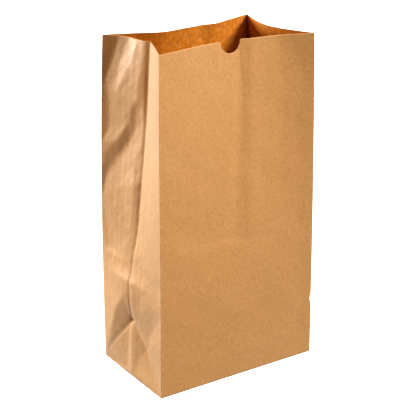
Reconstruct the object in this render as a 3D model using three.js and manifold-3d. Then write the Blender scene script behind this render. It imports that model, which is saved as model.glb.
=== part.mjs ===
// An open brown paper lunch bag: a glued kraft tube with side gussets and a folded square bottom.
// Millimetres, +Z up. The bag stands on its bottom at z = 0, with its front panel facing -Y.
import * as THREE from 'three';
import { mergeVertices } from 'three/addons/utils/BufferGeometryUtils.js';
import Module from 'manifold-3d';

const wasm = await Module();
wasm.setup();

// Driving dimensions.
const WIDTH = 152.4; // front and back panels, 6 inches
const DEPTH = 92.1; // side gussets, 3 5/8 inches
const HEIGHT = 281; // standing height, 11 1/16 inches
const PAPER = 0.15; // one layer of kraft paper
const SEAM_LAP = 12; // glued lap down the back panel
const FLAP_LAP = 20; // how far the two bottom flaps overlap at the centre line
const NOTCH_RADIUS = 10; // half-round thumb cut in the front rim

// How the opened bag stands: every value is a distance at the mouth unless its name says otherwise.
const FRONT_BOW = 15; // the front panel's middle lies this far inwards
const BACK_BOW = 18;
const LEFT_PUSH = 18; // the gusset's centre crease lies this far inwards
const RIGHT_PUSH = 14;
const APEX_PUSH = 2.5; // the same, where the bottom folds meet on the gusset
const MOUTH_LEAN = [2, 3]; // the mouth's drift in x and y over the bag's height
const LEFT_SOFTNESS = 0.15; // 0 keeps the centre crease sharp at the mouth, 1 rounds it away
const RIGHT_SOFTNESS = 0.8;

// Heights of the fold lines on the gussets.
const APEX = DEPTH / 2; // the 45 degree bottom folds meet here
const FOLD_START = 0.92 * DEPTH; // above this the centre crease folds inwards

// How finely the curved panels are divided.
const PANEL_STEPS = 14;
const GUSSET_STEPS = 8; // even, so that the centre crease is on a column
const UPPER_ROWS = 11;
const MARGIN = 5; // how far cutting solids reach past what they cut

const mix = (a, b, t) => a + (b - a) * t;
const risePast = (z, start) => Math.max(0, (z - start) / (HEIGHT - start));

// How far inwards the centre crease of a gusset lies at height z.
function creaseDepth(z, topPush) {
  if (z <= APEX) return APEX_PUSH * (z / APEX);
  if (z <= FOLD_START) return APEX_PUSH * (FOLD_START - z) / (FOLD_START - APEX);
  return topPush * risePast(z, FOLD_START) ** 0.6;
}

// Inward displacement across a gusset. The centre crease is a ridge line, and below the apex the
// displacement is capped, which leaves the flat bottom triangle between two 45 degree folds.
function gussetProfile(u, z, topPush, softness) {
  const crease = 1 - Math.abs(2 * u - 1);
  if (z < APEX) return APEX_PUSH * Math.min(z / APEX, crease);
  const soft = softness * risePast(z, FOLD_START);
  return creaseDepth(z, topPush) * mix(crease, Math.sin(Math.PI * u), soft);
}

const frontBow = (z) => FRONT_BOW * risePast(z, APEX) ** 1.6;
const backBow = (z) => BACK_BOW * risePast(z, APEX) ** 1.4;

// Paper doesn't stretch, so a bowed panel and a folded gusset draw their two edges together.
const bowedChord = (bow) => WIDTH * (1 - (8 / 3) * (bow / WIDTH) ** 2);
const foldedChord = (push) => DEPTH * Math.sqrt(1 - (2 * push / DEPTH) ** 2);

// The four vertical edges at height z, moved inwards by inset.
function cornersAt(z, inset) {
  const lean = MOUTH_LEAN.map((distance) => distance * (z / HEIGHT));
  const halfFront = bowedChord(frontBow(z)) / 2 - inset;
  const halfBack = bowedChord(backBow(z)) / 2 - inset;
  const halfLeft = foldedChord(creaseDepth(z, LEFT_PUSH)) / 2 - inset;
  const halfRight = foldedChord(creaseDepth(z, RIGHT_PUSH)) / 2 - inset;
  const place = (x, y) => new THREE.Vector2(x + lean[0], y + lean[1]);
  return {
    frontLeft: place(-halfFront, -halfLeft),
    frontRight: place(halfFront, -halfRight),
    backRight: place(halfBack, halfRight),
    backLeft: place(-halfBack, halfLeft),
  };
}

// A point of the back panel at fraction u of its width, from the right edge to the left.
function backPoint(u, z, inset) {
  const { backRight, backLeft } = cornersAt(z, inset);
  const point = backRight.clone().lerp(backLeft, u);
  point.y -= backBow(z) * Math.sin(Math.PI * u);
  return point;
}

// The bag's outline at height z, counter-clockwise from the front left edge.
function outlineAt(z, inset) {
  const { frontLeft, frontRight, backRight, backLeft } = cornersAt(z, inset);
  const outline = [];
  const panel = (steps, pointAt) => {
    for (let step = 0; step < steps; step += 1) outline.push(pointAt(step / steps));
  };
  panel(PANEL_STEPS, (u) => {
    const point = frontLeft.clone().lerp(frontRight, u);
    point.y += frontBow(z) * Math.sin(Math.PI * u);
    return point;
  });
  panel(GUSSET_STEPS, (u) => {
    const point = frontRight.clone().lerp(backRight, u);
    point.x -= gussetProfile(u, z, RIGHT_PUSH, RIGHT_SOFTNESS);
    return point;
  });
  panel(PANEL_STEPS, (u) => backPoint(u, z, inset));
  panel(GUSSET_STEPS, (u) => {
    const point = backLeft.clone().lerp(frontLeft, u);
    point.x += gussetProfile(u, z, LEFT_PUSH, LEFT_SOFTNESS);
    return point;
  });
  return outline;
}

// Cells past the middle of a gusset are split the other way, so that every 45 degree fold of the
// bottom follows the edges of triangles.
function splitsBackwards(column) {
  const afterFront = column - PANEL_STEPS;
  const gussetColumn = afterFront < GUSSET_STEPS ? afterFront : afterFront - GUSSET_STEPS - PANEL_STEPS;
  return gussetColumn >= GUSSET_STEPS / 2;
}

// A closed solid through a stack of outlines that all have the same number of points.
function loft(outlines, heights, backwards = () => false) {
  const count = outlines[0].length;
  const positions = outlines.flatMap((outline, row) => outline.flatMap((p) => [p.x, p.y, heights[row]]));
  const index = [];
  for (let row = 0; row < outlines.length - 1; row += 1) {
    for (let column = 0; column < count; column += 1) {
      const next = (column + 1) % count;
      const [a, b] = [row * count + column, row * count + next];
      const [c, d] = [b + count, a + count];
      if (backwards(column)) index.push(a, b, d, b, c, d);
      else index.push(a, b, c, a, c, d);
    }
  }
  const top = (outlines.length - 1) * count;
  for (const [a, b, c] of THREE.ShapeUtils.triangulateShape(outlines[0], [])) index.push(c, b, a);
  for (const [a, b, c] of THREE.ShapeUtils.triangulateShape(outlines.at(-1), [])) {
    index.push(top + a, top + b, top + c);
  }
  const geometry = new THREE.BufferGeometry();
  geometry.setAttribute('position', new THREE.Float32BufferAttribute(positions, 3));
  geometry.setIndex(index);
  return geometry;
}

function toSolid(geometry) {
  const bare = geometry.clone();
  bare.deleteAttribute('normal');
  bare.deleteAttribute('uv');
  const merged = mergeVertices(bare, 1e-5);
  return new wasm.Manifold(new wasm.Mesh({
    numProp: 3,
    vertProperties: new Float32Array(merged.attributes.position.array),
    triVerts: new Uint32Array(merged.index.array),
  }));
}

function toGeometry(solid) {
  const { vertProperties, triVerts } = solid.getMesh();
  const geometry = new THREE.BufferGeometry();
  geometry.setAttribute('position', new THREE.BufferAttribute(vertProperties, 3));
  geometry.setIndex(new THREE.BufferAttribute(triVerts, 1));
  geometry.computeVertexNormals();
  return geometry;
}

// A flat plate with the given outline between two heights.
function plate(points, from, to) {
  const shape = new THREE.Shape(points.map(([x, y]) => new THREE.Vector2(x, y)));
  const geometry = new THREE.ExtrudeGeometry(shape, { depth: to - from, bevelEnabled: false });
  return toSolid(geometry.translate(0, 0, from));
}

const rectangle = (x0, x1, y0, y1) => [[x0, y0], [x1, y0], [x1, y1], [x0, y1]];

// Heights of the rows: the square cells of the bottom folds, then the straight part of the tube.
function rowHeights() {
  const heights = [];
  const lowerRows = GUSSET_STEPS / 2;
  for (let row = 0; row <= lowerRows; row += 1) heights.push(APEX * (row / lowerRows));
  for (let row = 0; row <= UPPER_ROWS; row += 1) heights.push(mix(FOLD_START, HEIGHT, row / UPPER_ROWS));
  return heights;
}

// The tube filled in from its foot to its rim.
function filledTube() {
  const heights = rowHeights();
  return toSolid(loft(heights.map((z) => outlineAt(z, 0)), heights, splitsBackwards));
}

const FLAP_LENGTH = DEPTH / 2 + FLAP_LAP / 2; // every bottom flap is this long
const BACK_FLAP_LEVEL = PAPER; // the front flap lies outermost, then the back flap
const END_FLAP_LEVEL = 2 * PAPER; // the gussets' own flaps lie inside those two

// The room inside: it starts on the bottom flaps, steps over the two end flaps and runs out of the mouth.
function room() {
  const heights = rowHeights();
  heights[0] = END_FLAP_LEVEL;
  const outlines = heights.map((z) => outlineAt(z, PAPER));
  heights.push(HEIGHT + MARGIN);
  outlines.push(outlines.at(-1));
  let solid = toSolid(loft(outlines, heights, splitsBackwards));
  for (const side of [-1, 1]) {
    const ends = [side * (WIDTH / 2 + MARGIN), side * (WIDTH / 2 - FLAP_LENGTH)];
    const outline = rectangle(Math.min(...ends), Math.max(...ends), -DEPTH, DEPTH);
    solid = solid.subtract(plate(outline, END_FLAP_LEVEL - MARGIN, END_FLAP_LEVEL + PAPER));
  }
  return solid;
}

// One of the two long bottom flaps, a trapezoid with 45 degree ends. Side is -1 at the front and 1 at
// the back. It reaches a margin past its own edge of the bag, so that it also leaves the wall above it.
function longFlap(side, to) {
  const halfLong = WIDTH / 2 + MARGIN;
  const halfShort = WIDTH / 2 - FLAP_LENGTH;
  const edge = side * (DEPTH / 2 + MARGIN);
  const free = side * (DEPTH / 2 - FLAP_LENGTH);
  const outline = [[-halfLong, edge], [halfLong, edge], [halfShort, free], [-halfShort, free]];
  return plate(side < 0 ? outline : outline.reverse(), -2 * MARGIN, to);
}

// What the layered underside leaves free: everything below the back flap but the front flap, and
// everything below the end flaps but the two long flaps.
function undersideSteps() {
  const around = rectangle(-WIDTH, WIDTH, -DEPTH, DEPTH);
  const beyond = 2 * MARGIN;
  const belowBackFlap = plate(around, -MARGIN, BACK_FLAP_LEVEL).subtract(longFlap(-1, beyond));
  const belowEndFlaps = plate(around, -MARGIN, END_FLAP_LEVEL)
    .subtract(longFlap(-1, beyond))
    .subtract(longFlap(1, beyond));
  return belowBackFlap.add(belowEndFlaps);
}

// The second layer of paper where the tube is glued, down the middle of the back panel.
function seamLap() {
  const heights = rowHeights().slice(1);
  heights.unshift(END_FLAP_LEVEL);
  const outlines = heights.map((z) => {
    const edges = [-1, 0, 1].map((side) => 0.5 + side * (SEAM_LAP / 2 / WIDTH));
    const outside = edges.map((u) => backPoint(u, z, -PAPER));
    const inside = edges.map((u) => backPoint(u, z, PAPER / 2)).reverse();
    return [...outside, ...inside];
  });
  return toSolid(loft(outlines, heights));
}

// The thumb cut goes through the front panel only.
function thumbCut() {
  const cylinder = new THREE.CylinderGeometry(NOTCH_RADIUS, NOTCH_RADIUS, DEPTH / 2, 32);
  cylinder.translate(MOUTH_LEAN[0], -DEPTH / 2 + FRONT_BOW / 2, HEIGHT);
  // The cylinder stands along Y, as it is made; only its place along Z and Y is set.
  return toSolid(cylinder);
}

const bag = filledTube().add(seamLap()).subtract(room()).subtract(undersideSteps()).subtract(thumbCut());

const kraftPaper = new THREE.MeshStandardMaterial({ color: '#c99a63', roughness: 0.85, metalness: 0 });
const paperBag = new THREE.Mesh(toGeometry(bag), kraftPaper);
paperBag.name = 'paper_bag';

const group = new THREE.Group();
group.add(paperBag);

export default group;
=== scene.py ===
"""Looks of an open brown paper lunch bag: the creased kraft paper shell, its folded bottom and a studio."""

import math

import bpy
import numpy as np
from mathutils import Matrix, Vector
from mathutils.geometry import delaunay_2d_cdt


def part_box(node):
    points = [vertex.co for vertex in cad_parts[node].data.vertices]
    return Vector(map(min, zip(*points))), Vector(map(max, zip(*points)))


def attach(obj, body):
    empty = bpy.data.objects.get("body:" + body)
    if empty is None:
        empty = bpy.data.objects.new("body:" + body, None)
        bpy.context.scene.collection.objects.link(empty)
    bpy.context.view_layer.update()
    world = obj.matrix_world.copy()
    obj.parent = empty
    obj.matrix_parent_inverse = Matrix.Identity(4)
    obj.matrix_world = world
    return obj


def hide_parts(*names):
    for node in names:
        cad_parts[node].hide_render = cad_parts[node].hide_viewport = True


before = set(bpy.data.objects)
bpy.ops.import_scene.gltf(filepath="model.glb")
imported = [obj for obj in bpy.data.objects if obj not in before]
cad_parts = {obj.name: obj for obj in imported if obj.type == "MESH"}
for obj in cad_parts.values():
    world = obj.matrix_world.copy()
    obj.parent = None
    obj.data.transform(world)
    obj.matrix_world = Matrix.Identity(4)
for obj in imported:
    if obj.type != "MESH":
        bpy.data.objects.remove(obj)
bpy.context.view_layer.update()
NODE_LOW, NODE_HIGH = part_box("paper_bag")

bl_info = {
    "name": "Paper Lunch Bag",
    "version": (1, 0, 0),
    "blender": (4, 5, 0),
    "location": "3D View > Sidebar > Paper Bag",
    "description": "Builds an open paper bag with side gussets, and a studio round it",
    "category": "Add Mesh",
}

MM = 0.001
METRES_TO_MM = 1000.0
FRONT, RIGHT, BACK, LEFT = range(4)
SIDES = (FRONT, RIGHT, BACK, LEFT)

# How the paper is folded, in millimetres unless the comment says otherwise.
APEX_RISE = 4.5  # how far above half the depth the bottom folds meet
APEX_PUSH = 1.5  # how far inwards a gusset's centre crease lies there
FOLD_START = 0.92  # where that crease starts to fold, as a share of the depth
FRONT_BOW_POWER, BACK_BOW_POWER, PUSH_POWER = 1.6, 1.4, 0.6  # how these grow with the height
BOW_SKEW = 1.06  # a power over one, which moves the front bow's deepest place to the right
RIDGE_ROUND = 0.006  # rounding of a gusset's ridge, as a share of its width
TIP_RADIUS = 0.3  # rounding of a narrow crease
NICK, NICK_REACH = 1.2, 4.0  # a small nick in the front right edge
COCKLE, FINE_COCKLE, CRINKLE = 0.16, 0.05, 0.15  # heights of the sheet's faint waves
ABOVE_RIM = 6  # how far the folds run on past the rim
# The mouth isn't quite square: how far each vertical edge has moved in x and y by the rim, for the
# front left, front right, back right and back left edge.
EDGE_LEANS = np.array([(6.0, 4.5), (0.5, 4.0), (1.5, 6.0), (3.5, 5.5)])

# How finely the walls are divided.
CELLS = {FRONT: 62, RIGHT: 46, BACK: 56, LEFT: 84}
NOTCH_COLUMNS = 19
LOWER_ROWS, UPPER_ROWS = 43, 128

# The stage, in metres.
MIDDLE, MOUTH = 0.48, 0.85  # heights that the camera and the lights aim at, as shares of the bag's
SENSOR_WIDTH = 36  # of the camera, in millimetres
FLOOR_HALF = 8.0
FLOOR_DROP = 0.0003  # the floor lies a hair under the bag, so that the two faces don't meet
AIR_LIGHT = 0.02  # what the air gives as light; the camera sees it white


# ---------------------------------------------------------------- sizes and colours


class PaperBagShape(bpy.types.PropertyGroup):
    """Sizes of the folded bag, and how far it has opened."""

    width: bpy.props.FloatProperty(
        name="Width", description="Front and back panel at the foot",
        default=-2 * NODE_LOW.x, min=0.05, unit="LENGTH",
    )
    depth: bpy.props.FloatProperty(
        name="Depth", description="Side gusset at the foot",
        default=-2 * NODE_LOW.y, min=0.03, unit="LENGTH",
    )
    height: bpy.props.FloatProperty(
        name="Height", description="From the surface it stands on to the rim",
        default=NODE_HIGH.z, min=0.1, unit="LENGTH",
    )
    paper: bpy.props.FloatProperty(
        name="Paper", description="Thickness of one layer of paper",
        default=0.00022, min=0.00005, unit="LENGTH",
    )
    notch: bpy.props.FloatProperty(
        name="Thumb cut", description="Radius of the half-round cut in the front rim",
        default=0.010, min=0.0, unit="LENGTH",
    )
    front_bow: bpy.props.FloatProperty(
        name="Front bow", description="How far the front rim bends inwards",
        default=0.013, min=0.0, unit="LENGTH",
    )
    back_bow: bpy.props.FloatProperty(
        name="Back bow", description="How far the back rim bends inwards",
        default=0.021, min=0.0, unit="LENGTH",
    )
    left_push: bpy.props.FloatProperty(
        name="Left gusset", description="How far its centre crease lies inwards at the mouth",
        default=0.018, min=0.0, unit="LENGTH",
    )
    right_push: bpy.props.FloatProperty(
        name="Right gusset", description="How far its centre crease lies inwards at the mouth",
        default=0.012, min=0.0, unit="LENGTH",
    )
    seam: bpy.props.FloatProperty(
        name="Glued lap", description="Width of the lap down the back panel",
        default=0.012, min=0.0, unit="LENGTH",
    )


class PaperBagFinish(bpy.types.PropertyGroup):
    """Colours of the kraft paper."""

    paper_colour: bpy.props.FloatVectorProperty(
        name="Paper", description="Middle tone of the kraft paper",
        subtype="COLOR", size=3, min=0.0, max=1.0, default=(0.63, 0.345, 0.135),
    )
    # On the folds the pale colour is partly wear and partly a painted highlight.
    pale_colour: bpy.props.FloatVectorProperty(
        name="Pale fibres", description="Lighter clouds and worn folds",
        subtype="COLOR", size=3, min=0.0, max=1.0, default=(0.74, 0.46, 0.22),
    )
    dark_colour: bpy.props.FloatVectorProperty(
        name="Dark fibres", description="Darker clouds and specks",
        subtype="COLOR", size=3, min=0.0, max=1.0, default=(0.40, 0.19, 0.06),
    )
    # Painted shade: this inside tone is darker and more saturated than the paper, standing in for the light
    # that bounces about inside the bag.
    inside_shaded_colour: bpy.props.FloatVectorProperty(
        name="Inside", description="Middle tone of the paper's rougher inner face",
        subtype="COLOR", size=3, min=0.0, max=1.0, default=(0.56, 0.205, 0.005),
    )


class PaperBagStage(bpy.types.PropertyGroup):
    """Where the camera stands, and its lens."""

    azimuth: bpy.props.FloatProperty(
        name="Azimuth", description="Camera's turn round the bag, in degrees from the front",
        default=-33.7,
    )
    elevation: bpy.props.FloatProperty(
        name="Elevation", description="Camera's height, in degrees above level",
        default=20.5,
    )
    distance: bpy.props.FloatProperty(
        name="Distance", description="From the camera to the middle of the bag",
        default=1.006, min=0.2, unit="LENGTH",
    )
    lens: bpy.props.FloatProperty(
        name="Lens", description="Focal length on a 36 mm sensor, in millimetres",
        default=104.5, min=10.0,
    )


# ---------------------------------------------------------------- mesh helpers


def grid_faces(rows, columns, closed):
    """Quads of a grid of points whose index is row * columns + column. Closed joins the last column to
    the first one. They face away from the middle when columns run counter-clockwise and rows upwards."""
    steps = columns if closed else columns - 1
    row, column = np.meshgrid(np.arange(rows - 1), np.arange(steps), indexing="ij")
    following = (column + 1) % columns
    corners = [row * columns + column, row * columns + following,
               (row + 1) * columns + following, (row + 1) * columns + column]
    return np.stack(corners, axis=-1).reshape(-1, 4)


def mesh_object(name, points, faces, attributes):
    """A smooth-shaded mesh object from points in millimetres, quads, and one value per point for each
    named attribute."""
    mesh = bpy.data.meshes.new(name)
    mesh.vertices.add(len(points))
    mesh.vertices.foreach_set("co", (points * MM).astype(np.float32).ravel())
    mesh.loops.add(faces.size)
    mesh.loops.foreach_set("vertex_index", faces.astype(np.int32).ravel())
    mesh.polygons.add(len(faces))
    mesh.polygons.foreach_set("loop_start", np.arange(0, faces.size, 4, dtype=np.int32))
    mesh.update(calc_edges=True)
    mesh.validate()
    mesh.shade_smooth()
    for key, values in attributes.items():
        layer = mesh.attributes.new(key, "FLOAT", "POINT")
        layer.data.foreach_set("value", values.astype(np.float32).ravel())
    piece = bpy.data.objects.new(name, mesh)
    bpy.context.scene.collection.objects.link(piece)
    return piece


# ---------------------------------------------------------------- how the paper is folded


def softened(values, radius):
    """A distance whose tent has a rounded tip: the square root of the distance squared plus the radius
    squared, less the radius."""
    return np.sqrt(values**2 + radius**2) - radius


def crease(s, z, route, before, after, radius=TIP_RADIUS):
    """Height of a straight-sided crease along a route of (s, z, height) points. At a point it is the
    route's height there, times one minus the softened distance to the route over before on the route's
    left side and after on its right side, and zero beyond. Left and right are as seen going along it."""
    best = np.full(np.broadcast(s, z).shape, np.inf)
    field = np.zeros_like(best)
    for (s0, z0, h0), (s1, z1, h1) in zip(route[:-1], route[1:]):
        ds, dz = s1 - s0, z1 - z0
        length = math.hypot(ds, dz)
        along = np.clip(((s - s0) * ds + (z - z0) * dz) / length**2, 0, 1)
        off_s, off_z = s - (s0 + along * ds), z - (z0 + along * dz)
        distance = np.hypot(off_s, off_z)
        left = ds * off_z - dz * off_s > 0
        reach = np.where(left, before, after)
        tent = (h0 + along * (h1 - h0)) * np.clip(1 - softened(distance, radius) / reach, 0, 1)
        field = np.where(distance < best, tent, field)
        best = np.minimum(best, distance)
    return field


class Facets:
    """Relief of a sheet that handling has folded into flat facets. Lines are chains of (s, z, depth)
    points. The sheet is cut into triangles that have the lines among their edges, and is flat in each
    triangle. The sheet's two side edges have no depth. The depths are kept on a 1 mm grid, where
    passes of blur make the folds round, as many as softness says."""

    def __init__(self, width, height, lines, softness):
        top = height + ABOVE_RIM
        edge_points = 13
        heights = np.linspace(0, top, edge_points)
        chains = [[(side, level, 0) for level in heights] for side in (0, width)] + lines
        points, depths, edges = [], [], []
        for chain in chains:
            start = len(points)
            points += [Vector((s, z)) for s, z, _ in chain]
            depths += [depth for _, _, depth in chain]
            edges += [(k, k + 1) for k in range(start, len(points) - 1)]
        same_place = 1e-4
        corners, _, triangles, sources, _, _ = delaunay_2d_cdt(points, edges, [], 0, same_place)
        depth = np.array([depths[source[0]] if source else 0.0 for source in sources])
        place = np.array([tuple(corner) for corner in corners])
        s, z = np.arange(0, width + 1), np.arange(0, top + 1)
        self.s, self.z = s, z
        self.depths = self.flat(place, depth, np.array([tuple(t) for t in triangles]), s, z)
        for _ in range(softness):
            self.blur()

    def flat(self, place, depth, triangles, s, z):
        """Depth over the grid: at each grid point, the weighted mean of the corners of its triangle."""
        a, b, c = (place[triangles[:, k]] for k in range(3))
        area = (b[:, 1] - c[:, 1]) * (a[:, 0] - c[:, 0]) + (c[:, 0] - b[:, 0]) * (a[:, 1] - c[:, 1])
        s, z = s[None, :, None], z[:, None, None]
        first = ((b[:, 1] - c[:, 1]) * (s - c[:, 0]) + (c[:, 0] - b[:, 0]) * (z - c[:, 1])) / area
        second = ((c[:, 1] - a[:, 1]) * (s - c[:, 0]) + (a[:, 0] - c[:, 0]) * (z - c[:, 1])) / area
        third = 1 - first - second
        inside = np.minimum(np.minimum(first, second), third).argmax(axis=-1)[..., None]
        corner_depths = depth[triangles]
        total = 0
        for share, k in ((first, 0), (second, 1), (third, 2)):
            picked = np.take_along_axis(share, inside, axis=-1)[..., 0]
            total = total + picked * corner_depths[inside[..., 0], k]
        return total

    def blur(self):
        """One pass of weights 1, 2 and 1 over 4 up and across, with the outermost depths repeated."""
        wide = np.pad(self.depths, 1, mode="edge")
        wide = (wide[:-2] + 2 * wide[1:-1] + wide[2:]) / 4
        self.depths = (wide[:, :-2] + 2 * wide[:, 1:-1] + wide[:, 2:]) / 4

    def depth(self, s, z):
        """Depth at any points, straight between the four nearest points of the grid."""
        s, z = np.broadcast_arrays(s, z)
        column = np.clip(s, 0, len(self.s) - 1.001)
        row = np.clip(z, 0, len(self.z) - 1.001)
        left, low = column.astype(int), row.astype(int)
        across, up = column - left, row - low
        lower = self.depths[low, left] * (1 - across) + self.depths[low, left + 1] * across
        upper = self.depths[low + 1, left] * (1 - across) + self.depths[low + 1, left + 1] * across
        return lower * (1 - up) + upper * up


def waves(s, z, seed, length):
    """A faint cockle: the mean of a few sine waves with seeded directions and lengths near length."""
    rng = np.random.default_rng(seed)
    count, total = 7, 0
    for _ in range(count):
        turn, phase = rng.uniform(0, 2 * math.pi, 2)
        pace = 2 * math.pi / (length * rng.uniform(0.6, 1.6))
        total = total + np.sin(pace * (s * math.cos(turn) + z * math.sin(turn)) + phase)
    return total / count


# Folds of each wall, in millimetres on a bag of the default size: chains of (s, z, depth), where the
# depth is inwards of the plain wall. On the left gusset s runs from the back fold, on the right gusset
# from the front fold, on the front panel from the left fold and on the back panel from the right one.
LEFT_FOLDS = [
    # The corner by the mouth has turned in, and a soft fold runs down from it to the back edge.
    [(13, 287, 5), (7, 264, 3.5), (2, 242, 1)],
    [(23, 287, 5), (15, 262, 3), (6, 238, 1)],
    [(35, 287, 1), (27, 258, 0.5), (14, 236, 0.5)],
    # A long thin facet beside the centre crease.
    [(42, 287, -0.5), (41, 256, -1), (43, 232, -0.5), (48, 216, 0)],
    # The centre crease itself.
    [(46.5, 287, 0), (49, 222, 0), (48.3, 170, -0.5), (47.5, 128, -0.5), (44.5, 104, -1)],
    # A diagonal wrinkle faces down above its line and up below it.
    [(34, 230, -0.5), (29, 214, 0.5), (19, 199, 0.5), (6, 186, 0.5)],
    [(38, 226, 0.5), (36, 212, 1.5), (29, 198, 2.5), (16, 182, 2.5), (5, 168, 1.5)],
    [(45, 200, 0), (36, 182, 0.5), (22, 160, 0.5), (6, 140, 0)],
    [(6, 228, 1.5), (7, 206, 1.5)],
    # The plain stretch below it, with a small fold by the back edge.
    [(40, 165, -1.5), (38, 124, -1)],
    [(4, 128, 0.5), (12, 106, 0.5)],
    # The level fold under which the centre crease lies nearly flat.
    [(3, 100, 0), (16, 99, -0.5), (30, 98, -1), (43, 102, -1)],
    # A ridge from the kink in the centre crease to the bottom corner.
    [(44.5, 90, -1), (35, 70, -3), (23, 50, -4.5), (9, 19, -2.5)],
    # The bottom triangle: its two diagonals and its own centre fold.
    [(45, 51, 0), (28, 34, -2), (14, 20, -2.5)],
    [(47, 51, 0), (66, 33, 2), (80, 18, 1.5)],
    [(41, 38, -0.5), (37, 4, 0)],
    [(46, 38, -1.5), (47, 4, -1.5)],
    # The front half bulges out below a soft valley.
    [(86, 66, 1), (77, 54, 2), (67, 40, 2)],
    [(60, 80, 0), (58, 58, 0)],
    [(72, 74, 0), (84, 90, 1)],
    [(52, 102, 0), (86, 100, 0)],
    [(60, 112, -0.5), (64, 200, 0.5), (66, 287, 0.5)],
]
RIGHT_FOLDS = [
    [(30, 287, 2), (22, 262, 1.5), (8, 240, 0.5)],
    [(86, 236, 0.5), (70, 212, 2), (54, 200, 0.5)],
    [(86, 214, 0), (70, 196, -0.5), (54, 186, -0.5)],
    [(14, 160, 0.5), (28, 176, 1.5), (42, 190, 0.5)],
    [(12, 142, 0), (38, 158, -0.5)],
    [(6, 95, 0), (40, 96, -1), (52, 96, -1), (86, 95, 0)],
    [(44, 80, -1), (30, 56, -2), (10, 24, -1.5)],
    [(49, 80, -1), (62, 56, -1.5), (82, 24, -1)],
    [(38, 34, 0.5), (40, 6, 0.5)],
    [(52, 34, 0), (50, 6, -0.5)],
]
FRONT_FOLDS = [
    # A long band that faces left, between a pale line and a broad plain stretch.
    [(78, 287, 0), (74, 220, 0), (68, 160, 0)],
    [(87, 287, 0.9), (83, 220, 0.8), (77, 175, 0.8), (73, 124, 0.6), (73, 118, 0)],
    [(96, 287, -0.9), (92, 220, -0.8), (90, 175, -0.8), (88, 124, -0.6), (88, 118, 0)],
    [(106, 287, -0.2), (104, 200, -0.2), (102, 124, 0)],
    [(122, 240, 0.6), (120, 120, 0.3)],
    # The corner by the mouth and the stretch along the right edge turn away.
    [(122, 283, 0.8), (138, 260, 1), (148, 242, 0.3)],
    [(138, 224, 0.5), (138, 60, 0.6), (142, 20, 0.3)],
]
BACK_FOLDS = [
    [(30, 287, -2), (34, 240, -1), (36, 180, 0)],
    [(46, 287, -1), (46, 240, 0), (48, 170, 0)],
    [(60, 287, -6.5), (60, 250, -2.5), (58, 170, 0)],
    [(78, 287, -4.5), (78, 235, -1), (77, 170, 0)],
    [(104, 287, 2), (103, 240, 1), (100, 170, 0)],
    [(128, 287, -1), (126, 240, -0.5), (122, 190, 0)],
    [(148, 212, 0), (128, 196, 1), (108, 172, 0)],
    [(148, 192, 0), (126, 178, -0.5), (106, 156, 0)],
    [(4, 54, 0), (148, 54, 0)],
    [(4, 47, 0), (148, 47, 0)],
]

# Each wall's folds, and how many passes of blur they get.
FOLDS = {
    FRONT: (FRONT_FOLDS, 8),
    RIGHT: (RIGHT_FOLDS, 4),
    BACK: (BACK_FOLDS, 16),
    LEFT: (LEFT_FOLDS, 2),
}

# Where the left gusset's centre crease lies at each height: (z, s from the back fold). Above the kink
# it is a narrow groove.
LEFT_CREASE_LINE = ((0, 46), (50, 45.5), (88, 45), (104, 44.5), (128, 47.5), (222, 49), (290, 46.5))
KINK = 90


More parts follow.
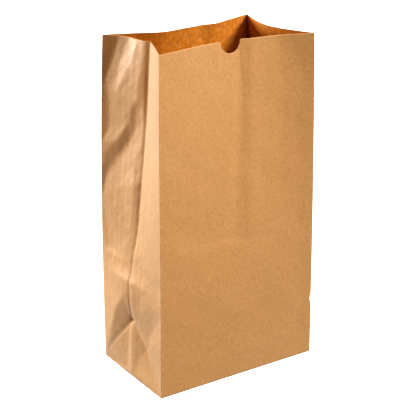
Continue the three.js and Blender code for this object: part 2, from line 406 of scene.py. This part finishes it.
class Bag:
    """The opened bag in millimetres. A point of the wall is given by its side, its distance s along
    that side and its height z. The sides run counter-clockwise from the front left edge."""

    def __init__(self, shape):
        self.width = shape.width * METRES_TO_MM
        self.depth = shape.depth * METRES_TO_MM
        self.height = shape.height * METRES_TO_MM
        self.paper = shape.paper * METRES_TO_MM
        self.notch = shape.notch * METRES_TO_MM
        self.seam = shape.seam * METRES_TO_MM
        self.front_bow = shape.front_bow * METRES_TO_MM
        self.back_bow = shape.back_bow * METRES_TO_MM
        self.left_push = shape.left_push * METRES_TO_MM
        self.right_push = shape.right_push * METRES_TO_MM
        self.apex = self.depth / 2 + APEX_RISE
        self.fold_start = FOLD_START * self.depth
        self.facets = {
            side: Facets(self.lengths()[side], self.height, lines, softness)
            for side, (lines, softness) in FOLDS.items()
        }

    def lengths(self):
        """How long each side is in plan when it lies flat."""
        return {FRONT: self.width, RIGHT: self.depth, BACK: self.width, LEFT: self.depth}

    def rise(self, z, start):
        """Height above start as a share of what is left up to the rim."""
        return np.clip((z - start) / (self.height - start), 0, 1)

    def bows(self, z):
        """How far the middle of the front and back panels lies inwards: their bows at the rim times a
        power of the share of the height above the apex."""
        share = self.rise(z, self.apex)
        return self.front_bow * share**FRONT_BOW_POWER, self.back_bow * share**BACK_BOW_POWER

    def push(self, z, at_mouth):
        """How far a gusset's centre crease lies inwards: straight up to the apex of the bottom folds and
        back to nothing where the crease starts to fold. From there on, a soft share of the height is the
        share squared, times one plus a small start, over the share plus that start. The crease lies in
        by at_mouth times a power of this."""
        lower = np.interp(z, [0, self.apex, self.fold_start], [0, APEX_PUSH, 0])
        share, start = self.rise(z, self.fold_start), 0.02
        soft = share**2 * (1 + start) / (share + start)
        return lower + at_mouth * soft**PUSH_POWER

    def corners(self, z):
        """The four vertical edges. Paper doesn't stretch, so a bowed panel's edges draw together by 8/3
        of the bow squared over the width, and a folded gusset's to the depth times the square root of
        one minus the square of twice the push over the depth. Each edge then leans in proportion to the
        height. The front right edge has a small nick where the bottom was folded up."""
        front_bow, back_bow = self.bows(z)

        def chord(bow):
            return self.width * (1 - 8 / 3 * (bow / self.width) ** 2)

        def folded(push):
            return self.depth * np.sqrt(1 - (2 * push / self.depth) ** 2)

        half_front, half_back = chord(front_bow) / 2, chord(back_bow) / 2
        half_left = folded(self.push(z, self.left_push)) / 2
        half_right = folded(self.push(z, self.right_push)) / 2
        nick = NICK * np.exp(-(((z - self.apex) / NICK_REACH) ** 2))
        places = [(-half_front, -half_left), (half_front - nick, -half_right),
                  (half_back, half_right), (-half_back, half_left)]
        share = (z / self.height)[:, None]
        return [np.stack(place, axis=-1) + share * lean for place, lean in zip(places, EDGE_LEANS)]

    # The outward side of each wall, as a direction in plan.
    OUTWARD = {FRONT: (0, -1), RIGHT: (1, 0), BACK: (0, 1), LEFT: (-1, 0)}

    def gusset(self, s, z, at_mouth, softness, middle):
        """Inward displacement of a gusset: a roof whose ridge is the centre crease at middle, rounded
        towards the mouth by softness. Below the apex it is cut off by the bottom triangle's plane."""
        u = np.where(s < middle, s / (2 * middle), 1 - (self.depth - s) / (2 * (self.depth - middle)))
        roof = 1 - softened(2 * u - 1, RIDGE_ROUND) / (1 - RIDGE_ROUND)
        soft = softness * self.rise(z, self.fold_start)
        upper = self.push(z, at_mouth) * (roof * (1 - soft) + np.sin(np.pi * u) * soft)
        lower = self.push(self.apex, at_mouth) * np.minimum(z / self.apex, roof)
        return np.where(z < self.apex, lower, upper)

    def away_from_folds(self, s, side, reach):
        """One inside a wall, falling to nothing at its two vertical folds over reach."""
        return np.clip(np.minimum(s, self.lengths()[side] - s) / reach, 0, 1)

    def left_creases(self, s, z):
        """The narrow sharp grooves of the left gusset's centre crease and bottom folds, inwards."""
        mid, apex = self.depth / 2, self.apex
        groove = 0.5
        line = [(middle, height, groove) for height, middle in reversed(LEFT_CREASE_LINE) if height > KINK]
        field = crease(s, z, line, 1.2, 3.0)
        field += crease(s, z, [(44.5, 102, 0.7), (45, 84, 0.5), (45.5, apex, 0.7)], 1.2, 2.2)
        field += crease(s, z, [(2, 101, -0.2), (20, 99, -0.3), (38, 99, -0.1)], 3.0, 3.0)
        field += crease(s, z, [(mid, apex, 0.9), (64, 32, 0.9), (76, 15, 0.5), (86, 2, 0.1)], 2.0, 6.0)
        field += crease(s, z, [(10, 12, 0.3), (45.5, apex, 0.6)], 3.0, 1.6)
        return field

    def right_creases(self, s, z):
        """The narrow sharp grooves of the right gusset's bottom folds, inwards."""
        d, mid, apex = self.depth, self.depth / 2, self.apex
        field = crease(s, z, [(mid, apex + 38, 0.2), (mid, apex, 0.8)], 3.0, 3.0)
        field += crease(s, z, [(8, 8, 0.2), (mid, apex, 0.8)], 2.0, 3.0)
        field += crease(s, z, [(mid, apex, 0.8), (d - 8, 8, 0.2)], 3.0, 2.0)
        return field

    def back_creases(self, s, z):
        """The level fold where the bottom was folded up, and the mark of its edge, inwards."""
        width, apex = self.width, self.apex
        edge = self.depth + 2
        field = crease(s, z, [(0, apex, 0.6), (width, apex, 0.6)], 2.5, 2.5)
        field += crease(s, z, [(4, edge, 0.35), (width - 4, edge, 0.35)], 5.0, 2.0, radius=0.4)
        return field

    def inward(self, side, s, z):
        """All of a wall's displacement towards the middle of the bag. The shifts and seeds give each
        wall waves of its own."""
        front_bow, back_bow = self.bows(z)
        u = s / self.lengths()[side]
        cockle = COCKLE * waves(s + 300 * side, z, seed=11 + side, length=34)
        cockle = cockle + FINE_COCKLE * waves(s, z + 90 * side, seed=21 + side, length=11)
        crinkle = CRINKLE * waves(s, z, seed=31 + side, length=9)
        calm = self.away_from_folds(s, side, reach=12)
        relief = self.facets[side].depth(s, z)
        if side == FRONT:
            return front_bow * np.sin(np.pi * u**BOW_SKEW) + calm * cockle + relief
        if side == BACK:
            return back_bow * np.sin(np.pi * u) + calm * (self.back_creases(s, z) + cockle) + relief
        near = self.away_from_folds(s, side, reach=1.5)
        if side == RIGHT:
            folds = self.gusset(s, z, self.right_push, softness=0.8, middle=self.depth / 2)
            return folds + near * (relief + self.right_creases(s, z)) + calm * (cockle + crinkle)
        heights, middles = zip(*LEFT_CREASE_LINE)
        middle = np.interp(z, heights, middles)
        folds = self.gusset(s, z, self.left_push, softness=0.0, middle=middle)
        cockle = 0.6 * cockle  # this gusset's many folds leave less room for it
        return folds + near * (relief + self.left_creases(s, z)) + calm * (cockle + crinkle)

    def lap(self, columns):
        """How far each column stands out on the glued lap, which is a second layer of paper."""
        tolerance = 1e-6
        on_lap = np.abs(columns[BACK] - self.width / 2) < self.seam / 2 + tolerance
        return np.concatenate([
            self.paper * on_lap if side == BACK else 0 * columns[side] for side in SIDES
        ])

    def fold_wear_and_highlight(self, columns):
        """One on the vertical folds, falling off over about a millimetre to either side. It makes the folds
        paler: partly wear, partly a painted highlight.
        """
        reach = 0.9
        distance = [np.minimum(columns[side], self.lengths()[side] - columns[side]) for side in SIDES]
        return np.exp(-(np.concatenate(distance) / reach) ** 2)

    def wall(self, columns, rows):
        """Outside points of the wall, as rows by columns: on each side the straight line between its two
        edges, moved inwards by what its folds and bows say."""
        z = rows[:, None]
        corners = self.corners(rows)
        parts = []
        for side in SIDES:
            s = columns[side][None, :]
            u = (s / self.lengths()[side])[..., None]
            start = corners[side][:, None, :]
            end = corners[(side + 1) % len(SIDES)][:, None, :]
            height = self.cut_heights(side, s, z)
            inward = self.inward(side, s, height)[..., None]
            plan = start * (1 - u) + end * u - inward * np.array(self.OUTWARD[side])
            parts.append(np.concatenate([plan, height[..., None]], axis=-1))
        return np.concatenate(parts, axis=1)

    def cut_heights(self, side, s, z):
        """Heights of the rows. Under the thumb cut the rows of the top stretch are drawn down, so that
        the last one follows the half circle."""
        z = np.broadcast_to(z, np.broadcast(s, z).shape)
        if side != FRONT:
            return z
        across = np.clip(np.abs(s - self.width / 2) / self.notch, 0, 1)
        cut = self.notch * np.sqrt(1 - across**2)
        stretch = 4 * self.notch
        share = np.clip((z - (self.height - stretch)) / stretch, 0, 1)
        return z - cut * share


def spaced(length, cells):
    """Distances along a wall from its first fold up to its last one, which is left out: equal cells,
    with extra columns close to both folds so that these stay crisp."""
    extra = np.array([0.3, 0.8])
    even = np.linspace(0, length, cells + 1)[:-1]
    return np.unique(np.round(np.concatenate([even, extra, length - extra]), 5))


def wall_columns(bag):
    """Where the wall's columns stand on each side. The front gets columns at equal angles of the thumb
    cut's half circle, and the back a pair at each edge of the glued lap."""
    middle = bag.width / 2
    turns = np.linspace(-math.pi / 2, math.pi / 2, NOTCH_COLUMNS)
    notch = middle + bag.notch * np.sin(turns)
    notch_gap = 1
    front = spaced(bag.width, CELLS[FRONT])
    front = front[(front < notch[0] - notch_gap) | (front > notch[-1] + notch_gap)]
    front = np.sort(np.concatenate([front, notch]))
    lap_step, lap_gap = 0.15, 0.8
    lap = bag.seam / 2 + np.array([0.0, lap_step])
    back = spaced(bag.width, CELLS[BACK])
    back = back[np.abs(np.abs(back - middle) - bag.seam / 2) > lap_gap]
    back = np.sort(np.concatenate([back, middle - lap, middle + lap]))
    right, left = spaced(bag.depth, CELLS[RIGHT]), spaced(bag.depth, CELLS[LEFT])
    return {FRONT: front, RIGHT: right, BACK: back, LEFT: left}


def wall_rows(bag):
    """Heights of the wall's rows: even ones up to the apex of the bottom folds, a little farther apart
    above it, and three more close to the foot and the rim."""
    lower = np.linspace(0, bag.apex, LOWER_ROWS)
    upper = np.linspace(bag.apex, bag.height, UPPER_ROWS)[1:]
    extra = [0.25, 0.6, bag.height - 0.5]
    return np.unique(np.round(np.concatenate([lower, upper, extra]), 5))


def face_normals(points):
    """Unit normals of a closed ring of columns: the cross product of the steps round and up."""
    around = np.roll(points, -1, axis=1) - np.roll(points, 1, axis=1)
    up = np.gradient(points, axis=0)
    normal = np.cross(around, up)
    return normal / np.linalg.norm(normal, axis=-1, keepdims=True)


def build_wall(bag):
    """The wall as one closed sheet: its outside, its inside one paper thickness in, and strips that
    join the two at the rim and at the foot. The lowest half millimetre curves in like a quarter of a
    circle."""
    columns, rows = wall_columns(bag), wall_rows(bag)
    outside = bag.wall(columns, rows)
    foot = 0.5
    tuck = foot - np.sqrt(np.clip(foot**2 - np.clip(foot - rows, 0, None) ** 2, 0, None))
    normal = face_normals(outside)
    outside = outside - normal * tuck[:, None, None]
    outside[..., 2] = np.maximum(outside[..., 2], 0)
    inside = outside - normal * bag.paper
    inside[..., 2] = outside[..., 2]
    outside[..., 1] += bag.lap(columns)
    row_count, column_count = outside.shape[:2]
    total = row_count * column_count
    outer = grid_faces(row_count, column_count, True)
    inner = grid_faces(row_count, column_count, True)[:, ::-1] + total
    ring = np.arange(column_count)
    following = (ring + 1) % column_count
    top = (row_count - 1) * column_count
    rim = np.stack([top + ring, top + following, total + top + following, total + top + ring], axis=-1)
    sole = np.stack([ring, total + ring, total + following, following], axis=-1)
    points = np.concatenate([outside.reshape(-1, 3), inside.reshape(-1, 3)])
    faces = np.concatenate([outer, inner, rim, sole])
    inner_face = np.concatenate([np.zeros(total), np.ones(total)])
    # The folds' wear and painted highlight, on the outside only.
    wear_and_highlight = np.broadcast_to(bag.fold_wear_and_highlight(columns), outside.shape[:2]).ravel()
    return points, faces, inner_face, np.concatenate([wear_and_highlight, np.zeros(total)])


# ---------------------------------------------------------------- the folded bottom


def edged(start, end):
    """Five places from start to end: both ends, one half a millimetre from each, and the middle. The
    close pairs keep the edges of a flat piece crisp."""
    return np.array([start, start + 0.5, (start + end) / 2, end - 0.5, end])


def plate(along, half, low, high):
    """A thin plate between two heights. Its outline is symmetrical: at each place along y it reaches
    half to either side."""
    across = np.array([-1, -0.99, 0, 0.99, 1])
    y = np.broadcast_to(along[:, None], (len(along), len(across)))
    x = half[:, None] * across[None, :]
    layers = [np.stack([x, y, np.full_like(x, level)], axis=-1) for level in (low, high)]
    rows, columns = x.shape
    total = rows * columns
    upper = grid_faces(rows, columns, False) + total
    lower = grid_faces(rows, columns, False)[:, ::-1]
    index = np.arange(total).reshape(rows, columns)
    edge = np.concatenate([index[0, :-1], index[:-1, -1], index[-1, :0:-1], index[:0:-1, 0]])
    following = np.roll(edge, -1)
    side = np.stack([edge, following, following + total, edge + total], axis=-1)
    if along[-1] < along[0]:
        upper, lower, side = upper[:, ::-1], lower[:, ::-1], side[:, ::-1]
    points = np.concatenate([layer.reshape(-1, 3) for layer in layers])
    return points, np.concatenate([upper, lower, side])


def build_bottom(bag):
    """The four flaps of the bottom. Each long flap narrows at 45 degrees from the bag's corners to its
    free edge, a lap past the middle, and the two end flaps are plain rectangles that lie inside."""
    lap = 10.0
    reach = bag.depth / 2 + lap
    inset = bag.paper
    half_width, half_depth = bag.width / 2 - inset, bag.depth / 2 - inset
    distance = edged(0, reach)
    parts = [
        plate(-half_depth + distance, half_width - distance, 0.0, bag.paper),
        plate(half_depth - distance, half_width - distance, bag.paper, 2 * bag.paper),
    ]
    for end in (-1, 1):
        along = edged(-half_depth, half_depth)
        points, faces = plate(along, np.full_like(along, reach / 2), 2 * bag.paper, 3 * bag.paper)
        points[:, 0] += end * (half_width - reach / 2)
        parts.append((points, faces))
    return parts


def joined(parts):
    """Points and faces of several meshes as one."""
    offset, points, faces = 0, [], []
    for part_points, part_faces in parts:
        points.append(part_points)
        faces.append(part_faces + offset)
        offset += len(part_points)
    return np.concatenate(points), np.concatenate(faces)


# ---------------------------------------------------------------- kraft paper


class Signal:
    """A node's socket that can stand in sums: each operation adds a Math node."""

    def __init__(self, shader, socket):
        self.shader = shader
        self.socket = socket

    def _math(self, operation, first, second):
        return self.shader.node("ShaderNodeMath", {"operation": operation}, {0: first, 1: second})

    def __add__(self, other):
        return self._math("ADD", self, other)

    def __radd__(self, other):
        return self._math("ADD", other, self)

    def __sub__(self, other):
        return self._math("SUBTRACT", self, other)

    def __rsub__(self, other):
        return self._math("SUBTRACT", other, self)

    def __mul__(self, other):
        return self._math("MULTIPLY", self, other)

    def __rmul__(self, other):
        return self._math("MULTIPLY", other, self)


class Shader:
    """A material's node tree, with one method that adds any node."""

    def __init__(self, name):
        self.material = bpy.data.materials.new(name)
        self.material.use_nodes = True
        self.tree = self.material.node_tree
        self.tree.nodes.clear()

    def node(self, kind, settings, inputs, output=0):
        """Adds a node, sets its settings, then its sockets from values or signals, and returns the
        signal of one output."""
        made = self.tree.nodes.new(kind)
        for key, value in settings.items():
            setattr(made, key, value)
        for key, value in inputs.items():
            if isinstance(value, Signal):
                self.tree.links.new(value.socket, made.inputs[key])
            else:
                made.inputs[key].default_value = value
        return Signal(self, made.outputs[output]) if made.outputs else None

    def noise(self, vector, scale, detail, roughness):
        settings = {"noise_dimensions": "3D"}
        return self.node("ShaderNodeTexNoise", settings,
                         {"Vector": vector, "Scale": scale, "Detail": detail, "Roughness": roughness})

    def ramped(self, signal, low, high):
        """Zero at low, one at high, clamped."""
        return self.node("ShaderNodeMapRange", {"clamp": True},
                         {"Value": signal, "From Min": low, "From Max": high, "To Min": 0.0, "To Max": 1.0})

    def blend(self, factor, first, second):
        """A colour between two colours."""
        return self.node("ShaderNodeMix", {"data_type": "RGBA"}, {0: factor, 6: first, 7: second}, 2)


def kraft_material(finish):
    """Kraft paper: clouds of fibre, upright fine fibres and sparse specks over a middle tone, with pale
    folds that are partly wear and partly a painted highlight, and a fine bump of fibres. The inside is
    rougher and cloudier, and darker and more saturated through painted shade, darkest along the rim."""
    shader = Shader("kraft_paper")
    place = shader.node("ShaderNodeTexCoord", {}, {}, "Object")
    inner = shader.node("ShaderNodeAttribute", {"attribute_name": "inner"}, {}, "Fac")
    upright = shader.node("ShaderNodeMapping", {}, {"Vector": place, "Scale": (1.0, 1.0, 0.55)})
    clouds = shader.noise(place, scale=330, detail=3, roughness=0.6)
    broad = shader.noise(place, scale=28, detail=2, roughness=0.5)
    grain = shader.noise(upright, scale=850, detail=2, roughness=0.6)
    fibres = shader.noise(upright, scale=1700, detail=2, roughness=0.6)
    specks = shader.noise(place, scale=1100, detail=1, roughness=0.5)
    # How strongly each pattern shows, from 0 to 1. The clouds and the grain differ inside.
    broad_share, wear_and_highlight_share, speck_share, rim_shade_share = 0.14, 0.5, 0.4, 0.4
    pale = (*finish.pale_colour, 1.0)
    dark = (*finish.dark_colour, 1.0)
    # Painted shade: the inner faces take the darker, more saturated inside tone.
    base = shader.blend(inner, (*finish.paper_colour, 1.0), (*finish.inside_shaded_colour, 1.0))
    cloudy = inner * 0.77 + 0.10
    grainy = 0.35 - inner * 0.09
    lighter = shader.ramped(clouds, 0.5, 0.75) * cloudy * (1 - inner * 0.55)
    lighter = lighter + shader.ramped(broad, 0.5, 0.8) * broad_share
    lighter = lighter + shader.ramped(grain, 0.5, 0.75) * grainy
    darker = shader.ramped(clouds, 0.5, 0.28) * cloudy + shader.ramped(grain, 0.5, 0.25) * grainy
    # The vertical folds are paler: partly wear, partly a painted highlight where the folds catch the light.
    wear_and_highlight = shader.node("ShaderNodeAttribute", {"attribute_name": "wear_and_highlight"}, {}, "Fac")
    lighter = lighter + wear_and_highlight * shader.ramped(clouds, 0.3, 0.6) * wear_and_highlight_share
    colour = shader.blend(lighter, base, pale)
    colour = shader.blend(darker, colour, dark)
    colour = shader.blend(shader.ramped(specks, 0.72, 0.78) * speck_share, colour, dark)
    # Painted shade: the inside darkens over the last few millimetres below the rim.
    height = shader.node("ShaderNodeSeparateXYZ", {}, {"Vector": place}, "Z")
    rim_depth = 0.004
    rim = shader.ramped(height, NODE_HIGH.z - rim_depth, NODE_HIGH.z)
    colour = shader.blend(inner * rim * rim_shade_share, colour, dark)
    relief = fibres * 0.5 + grain * 0.5 + clouds * 0.5
    normal = shader.node("ShaderNodeBump", {}, {"Strength": 0.3, "Distance": 0.00012, "Height": relief})
    outside = shader.node(
        "ShaderNodeBsdfPrincipled", {},
        {"Base Color": colour, "Roughness": 0.42 + 0.10 * clouds, "Normal": normal, "IOR": 1.48,
         "Metallic": 0.0, "Sheen Weight": 0.5, "Sheen Roughness": 0.5},
    )
    inside = shader.node(
        "ShaderNodeBsdfPrincipled", {},
        {"Base Color": colour, "Roughness": 0.85, "Normal": normal, "IOR": 1.3, "Metallic": 0.0},
    )
    surface = shader.node("ShaderNodeMixShader", {}, {0: inner, 1: outside, 2: inside})
    shader.node("ShaderNodeOutputMaterial", {}, {"Surface": surface})
    return shader.material


def plain_material(name, colour, roughness, glow):
    """One even colour that also gives off some of its own light."""
    shader = Shader(name)
    surface = shader.node(
        "ShaderNodeBsdfPrincipled", {},
        {"Base Color": (*colour, 1.0), "Roughness": roughness, "Specular IOR Level": 0.2,
         "Emission Color": (*colour, 1.0), "Emission Strength": glow},
    )
    shader.node("ShaderNodeOutputMaterial", {}, {"Surface": surface})
    return shader.material


# ---------------------------------------------------------------- operators


class PAPERBAG_OT_bag(bpy.types.Operator):
    """Make the folded paper bag in place of the plain solid"""

    bl_idname = "paperbag.bag"
    bl_label = "Make Bag"

    def execute(self, context):
        bag = Bag(context.scene.paper_bag_shape)
        wall_points, wall_faces, wall_inner, wall_wear_and_highlight = build_wall(bag)
        flaps = build_bottom(bag)
        points, faces = joined([(wall_points, wall_faces), *flaps])
        # The first half of a flap's points is its lower face, which is the outside of the paper.
        flap_inner = [np.repeat([0.0, 1.0], len(flap_points) // 2) for flap_points, _ in flaps]
        inner = np.concatenate([wall_inner, *flap_inner])
        # Paler vertical folds: partly wear, partly a painted highlight.
        wear_and_highlight = np.concatenate([wall_wear_and_highlight, np.zeros(len(inner) - len(wall_wear_and_highlight))])
        piece = mesh_object("folded_bag", points, faces, {"inner": inner, "wear_and_highlight": wear_and_highlight})
        piece.data.materials.append(kraft_material(context.scene.paper_bag_finish))
        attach(piece, "root")
        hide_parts("paper_bag")
        return {"FINISHED"}


def direction(azimuth, elevation):
    """Unit vector from the bag towards something at that turn from the front and height above level."""
    turn, lift = math.radians(azimuth), math.radians(elevation)
    flat = math.cos(lift)
    return Vector((math.sin(turn) * flat, -math.cos(turn) * flat, math.sin(lift)))


def area_light(name, target, azimuth, elevation, distance, size, power, colour=(1, 1, 1)):
    """A rectangular soft light in that direction and at that distance from target, turned towards it.
    Size is its width and height in metres, and power is in watts."""
    data = bpy.data.lights.new(name, "AREA")
    data.shape = "RECTANGLE"
    data.size, data.size_y = size
    data.energy = power
    data.color = colour
    light = bpy.data.objects.new(name, data)
    light.location = target + direction(azimuth, elevation) * distance
    aim = target - light.location
    light.visible_camera = False
    light.rotation_euler = aim.to_track_quat("-Z", "Y").to_euler()
    bpy.context.scene.collection.objects.link(light)


class PAPERBAG_OT_stage(bpy.types.Operator):
    """Make the floor, the lights and the camera"""

    bl_idname = "paperbag.stage"
    bl_label = "Make Stage"

    def execute(self, context):
        scene = context.scene
        stage = scene.paper_bag_stage
        middle = Vector((0, 0, NODE_HIGH.z * MIDDLE))
        mouth = Vector((0, 0, NODE_HIGH.z * MOUTH))

        corners = np.array([(-1, -1, 0), (1, -1, 0), (1, 1, 0), (-1, 1, 0)]) * FLOOR_HALF
        corners[:, 2] = -FLOOR_DROP
        floor = mesh_object("floor", corners / MM, np.array([[0, 1, 2, 3]]), {})
        paint = plain_material("floor_paint", colour=(0.93, 0.93, 0.93), roughness=0.8, glow=0.8)
        floor.data.materials.append(paint)
        floor.visible_diffuse = False
        floor.visible_glossy = False

        area_light(
            "side_light", mouth, azimuth=-141, elevation=11, distance=1.5, size=(1.05, 0.6), power=31,
        )
        area_light(
            "front_light", middle, azimuth=40, elevation=40, distance=6.0, size=(2.3, 2.3), power=380,
        )
        area_light(
            "fill_light", middle, azimuth=-20, elevation=52, distance=3.0, size=(1.2, 1.2), power=13,
            colour=(1.0, 0.76, 0.52),
        )
        area_light(
            "floor_light", middle, azimuth=180, elevation=80, distance=2.8, size=(3.0, 3.0), power=45,
        )

        world = bpy.data.worlds.new("studio_air")
        world.use_nodes = True
        background = world.node_tree.nodes["Background"]
        background.inputs["Color"].default_value = (1, 1, 1, 1)
        # The air is white to the camera and gives hardly any light.
        path = world.node_tree.nodes.new("ShaderNodeLightPath")
        strength = world.node_tree.nodes.new("ShaderNodeMapRange")
        strength.inputs["To Min"].default_value = AIR_LIGHT
        strength.inputs["To Max"].default_value = 1.0
        world.node_tree.links.new(path.outputs["Is Camera Ray"], strength.inputs["Value"])
        world.node_tree.links.new(strength.outputs["Result"], background.inputs["Strength"])
        scene.world = world
        scene.view_settings.view_transform = "Standard"
        scene.view_settings.look = "High Contrast"

        data = bpy.data.cameras.new("camera")
        data.sensor_width = SENSOR_WIDTH
        data.lens = stage.lens
        camera = bpy.data.objects.new("camera", data)
        back = direction(stage.azimuth, stage.elevation)
        camera.location = middle + back * stage.distance
        camera.rotation_euler = (-back).to_track_quat("-Z", "Y").to_euler()
        scene.collection.objects.link(camera)
        scene.camera = camera
        return {"FINISHED"}


class PAPERBAG_PT_panel(bpy.types.Panel):
    """Sizes, colours and the two build steps"""

    bl_label = "Paper Bag"
    bl_idname = "PAPERBAG_PT_panel"
    bl_space_type = "VIEW_3D"
    bl_region_type = "UI"
    bl_category = "Paper Bag"

    def draw(self, context):
        scene = context.scene
        for group in (scene.paper_bag_shape, scene.paper_bag_finish, scene.paper_bag_stage):
            box = self.layout.box()
            for key in group.__annotations__:
                box.prop(group, key)
        self.layout.operator("paperbag.bag")
        self.layout.operator("paperbag.stage")


CLASSES = (
    PaperBagShape,
    PaperBagFinish,
    PaperBagStage,
    PAPERBAG_OT_bag,
    PAPERBAG_OT_stage,
    PAPERBAG_PT_panel,
)


def register():
    for cls in CLASSES:
        bpy.utils.register_class(cls)
    bpy.types.Scene.paper_bag_shape = bpy.props.PointerProperty(type=PaperBagShape)
    bpy.types.Scene.paper_bag_finish = bpy.props.PointerProperty(type=PaperBagFinish)
    bpy.types.Scene.paper_bag_stage = bpy.props.PointerProperty(type=PaperBagStage)


def unregister():
    del bpy.types.Scene.paper_bag_stage
    del bpy.types.Scene.paper_bag_finish
    del bpy.types.Scene.paper_bag_shape
    for cls in reversed(CLASSES):
        bpy.utils.unregister_class(cls)


def main():
    register()
    bpy.ops.paperbag.bag()
    bpy.ops.paperbag.stage()


if __name__ == "__main__":
    main()
